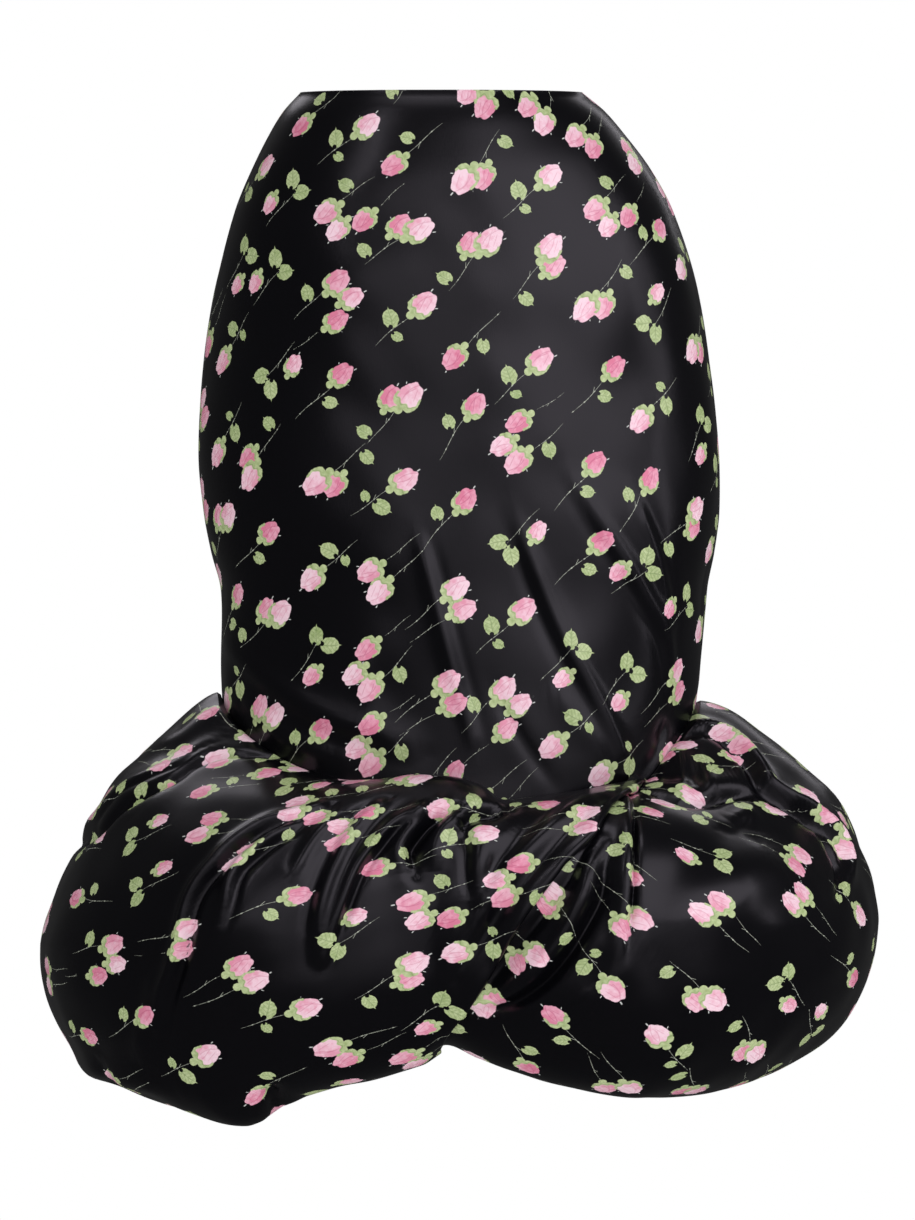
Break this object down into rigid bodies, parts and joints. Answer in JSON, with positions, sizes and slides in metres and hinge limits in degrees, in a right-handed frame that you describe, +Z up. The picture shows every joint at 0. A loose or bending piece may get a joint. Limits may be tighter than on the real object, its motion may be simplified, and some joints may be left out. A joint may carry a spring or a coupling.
{
  "type": "balloon skirt",
  "caption": "Long satin skirt with a high plain waist, a close upper skirt and a wide draped balloon hem that crosses at the front, all over rosebud print.",
  "frame": {"origin": "middle of the waist edge, where the wearer holds the skirt up", "axes": "+Z up from hem to waist, -Y to the front, +X to the viewer's right seen from the front"},
  "size_m": [0.6704, 0.4631, 0.8263],
  "materials": {
    "satin": "heavy satin, black ground with pink rosebuds and green leaves"
  },
  "bodies": {
    "root": {"skirt_front": "satin", "skirt_back": "satin", "balloon_left": "satin", "balloon_right": "satin"}
  },
  "joints": []
}
